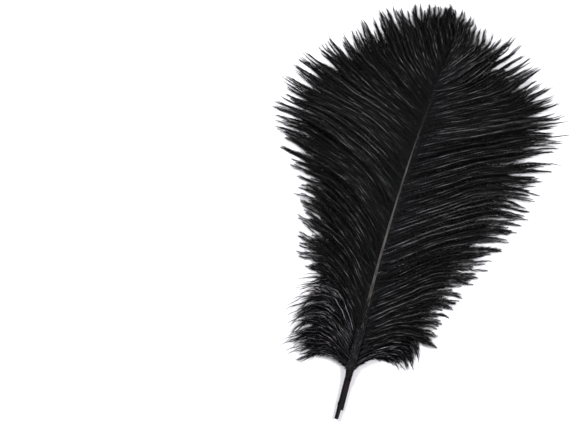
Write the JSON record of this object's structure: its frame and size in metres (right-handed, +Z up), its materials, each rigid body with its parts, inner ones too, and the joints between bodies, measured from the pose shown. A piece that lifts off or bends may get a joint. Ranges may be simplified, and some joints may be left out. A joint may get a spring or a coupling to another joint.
{
  "type": "ostrich feather",
  "caption": "Black ostrich plume lying on its barbs: a tapering arched shaft with a wide row of soft barbs along each side and curled down at its base.",
  "frame": {"origin": "middle of the feather's outline in plan, on the surface that it lies on", "axes": "+Y from the cut end of the quill to the tip of the plume, +X to its right as seen from above, +Z up from the surface"},
  "size_m": [0.188, 0.28, 0.0204],
  "materials": {
    "keratin": "satin, dyed black quill that turns grey-brown up the shaft",
    "barbs": "soft black fibres with a low sheen",
    "down": "finer, duller black fibres"
  },
  "bodies": {
    "root": {"shaft": "keratin", "vane_right": "barbs", "vane_left": "barbs", "down_right": "down", "down_left": "down"}
  },
  "joints": []
}
